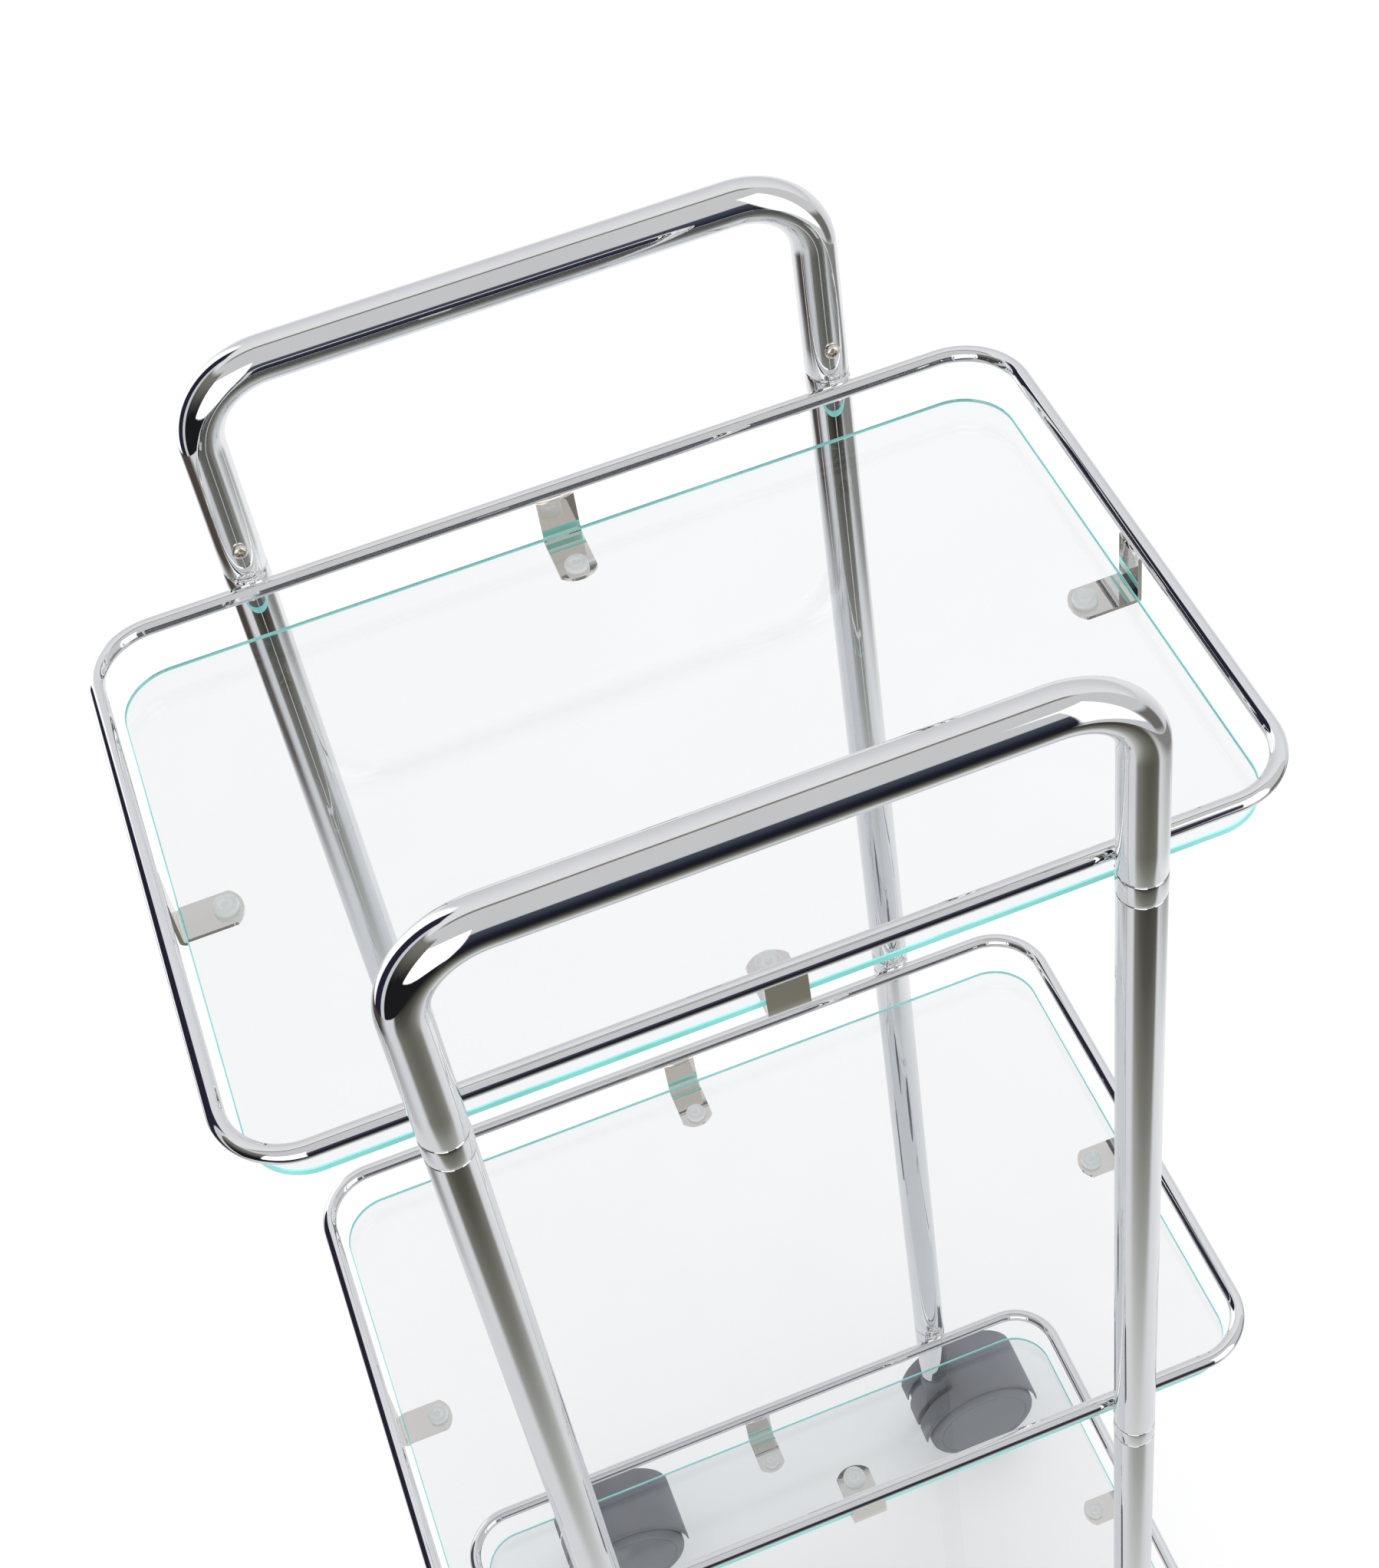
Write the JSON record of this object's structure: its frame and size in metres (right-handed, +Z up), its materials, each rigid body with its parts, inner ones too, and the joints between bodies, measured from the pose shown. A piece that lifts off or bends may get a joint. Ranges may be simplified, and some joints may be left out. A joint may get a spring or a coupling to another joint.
{
  "type": "glass shelf trolley",
  "caption": "Rolling spa trolley: chrome tube frame with raised loop handles, glass shelves held under rounded rod rails, and hooded twin-wheel swivel casters.",
  "frame": {"origin": "on the floor, under the middle of the trolley", "axes": "+Z up; X along the shelves' long sides and the handle bars; -Y is the front"},
  "size_m": [0.346, 0.294, 0.944],
  "materials": {
    "chrome": "bright chrome-plated steel",
    "clip_chrome": "bright chrome-plated strip",
    "screws": "nickel-plated screw heads",
    "steel": "plain drawn steel",
    "silicone": "clear soft silicone, slightly frosted",
    "glass": "clear tempered glass with polished green edges",
    "caster_plastic": "dark grey moulded nylon, fine grain",
    "wheel_plastic": "dark grey moulded nylon, fine grain"
  },
  "bodies": {
    "frame": {"handle_front": "chrome", "handle_back": "chrome", "leg_upper_fl": "chrome", "leg_upper_fr": "chrome", "leg_upper_bl": "chrome", "leg_upper_br": "chrome", "leg_lower_fl": "chrome", "leg_lower_fr": "chrome", "leg_lower_bl": "chrome", "leg_lower_br": "chrome", "leg_stub_fl": "chrome", "leg_stub_fr": "chrome", "leg_stub_bl": "chrome", "leg_stub_br": "chrome", "rod_top": "chrome", "rod_middle": "chrome", "rod_bottom": "chrome", "collars_top": "chrome", "collars_middle": "chrome", "collars_bottom": "chrome", "welds_top": "chrome", "welds_middle": "chrome", "welds_bottom": "chrome", "spigots_top": "steel", "spigots_middle": "steel", "spigots_bottom": "steel", "clips_top": "clip_chrome", "clips_middle": "clip_chrome", "clips_bottom": "clip_chrome", "pads_top": "silicone", "pads_middle": "silicone", "pads_bottom": "silicone", "handle_screws": "screws", "caster_sockets": "caster_plastic"},
    "pane_top": {"glass_top": "glass"},
    "pane_middle": {"glass_middle": "glass"},
    "pane_bottom": {"glass_bottom": "glass"},
    "caster_fl": {"hood_fl": "caster_plastic", "stem_fl": "steel", "axle_fl": "steel"},
    "outer_wheel_fl": {"wheel_outer_fl": "wheel_plastic"},
    "inner_wheel_fl": {"wheel_inner_fl": "wheel_plastic"},
    "caster_fr": {"hood_fr": "caster_plastic", "stem_fr": "steel", "axle_fr": "steel"},
    "outer_wheel_fr": {"wheel_outer_fr": "wheel_plastic"},
    "inner_wheel_fr": {"wheel_inner_fr": "wheel_plastic"},
    "caster_bl": {"hood_bl": "caster_plastic", "stem_bl": "steel", "axle_bl": "steel"},
    "outer_wheel_bl": {"wheel_outer_bl": "wheel_plastic"},
    "inner_wheel_bl": {"wheel_inner_bl": "wheel_plastic"},
    "caster_br": {"hood_br": "caster_plastic", "stem_br": "steel", "axle_br": "steel"},
    "outer_wheel_br": {"wheel_outer_br": "wheel_plastic"},
    "inner_wheel_br": {"wheel_inner_br": "wheel_plastic"}
  },
  "joints": [
    {"name": "glass_top_lift", "type": "slide", "parent": "frame", "child": "pane_top", "axis": [0, 0, 1], "range_m": [0, 0.15]},
    {"name": "glass_middle_lift", "type": "slide", "parent": "frame", "child": "pane_middle", "axis": [0, 0, 1], "range_m": [0, 0.15]},
    {"name": "glass_bottom_lift", "type": "slide", "parent": "frame", "child": "pane_bottom", "axis": [0, 0, 1], "range_m": [0, 0.15]},
    {"name": "caster_fl_swivel", "type": "hinge", "parent": "frame", "child": "caster_fl", "pos_m": [-0.1095, -0.1245, 0.0758], "axis": [0, 0, 1], "continuous": true},
    {"name": "wheel_outer_fl_roll", "type": "hinge", "parent": "caster_fl", "child": "outer_wheel_fl", "pos_m": [-0.0895, -0.1245, 0.032], "axis": [0, 1, 0], "continuous": true},
    {"name": "wheel_inner_fl_roll", "type": "hinge", "parent": "caster_fl", "child": "inner_wheel_fl", "pos_m": [-0.0895, -0.1245, 0.032], "axis": [0, 1, 0], "continuous": true},
    {"name": "caster_fr_swivel", "type": "hinge", "parent": "frame", "child": "caster_fr", "pos_m": [0.1095, -0.1245, 0.0758], "axis": [0, 0, 1], "continuous": true},
    {"name": "wheel_outer_fr_roll", "type": "hinge", "parent": "caster_fr", "child": "outer_wheel_fr", "pos_m": [0.1295, -0.1245, 0.032], "axis": [0, 1, 0], "continuous": true},
    {"name": "wheel_inner_fr_roll", "type": "hinge", "parent": "caster_fr", "child": "inner_wheel_fr", "pos_m": [0.1295, -0.1245, 0.032], "axis": [0, 1, 0], "continuous": true},
    {"name": "caster_bl_swivel", "type": "hinge", "parent": "frame", "child": "caster_bl", "pos_m": [-0.1095, 0.1245, 0.0758], "axis": [0, 0, 1], "continuous": true},
    {"name": "wheel_outer_bl_roll", "type": "hinge", "parent": "caster_bl", "child": "outer_wheel_bl", "pos_m": [-0.0895, 0.1245, 0.032], "axis": [0, 1, 0], "continuous": true},
    {"name": "wheel_inner_bl_roll", "type": "hinge", "parent": "caster_bl", "child": "inner_wheel_bl", "pos_m": [-0.0895, 0.1245, 0.032], "axis": [0, 1, 0], "continuous": true},
    {"name": "caster_br_swivel", "type": "hinge", "parent": "frame", "child": "caster_br", "pos_m": [0.1095, 0.1245, 0.0758], "axis": [0, 0, 1], "continuous": true},
    {"name": "wheel_outer_br_roll", "type": "hinge", "parent": "caster_br", "child": "outer_wheel_br", "pos_m": [0.1295, 0.1245, 0.032], "axis": [0, 1, 0], "continuous": true},
    {"name": "wheel_inner_br_roll", "type": "hinge", "parent": "caster_br", "child": "inner_wheel_br", "pos_m": [0.1295, 0.1245, 0.032], "axis": [0, 1, 0], "continuous": true}
  ]
}
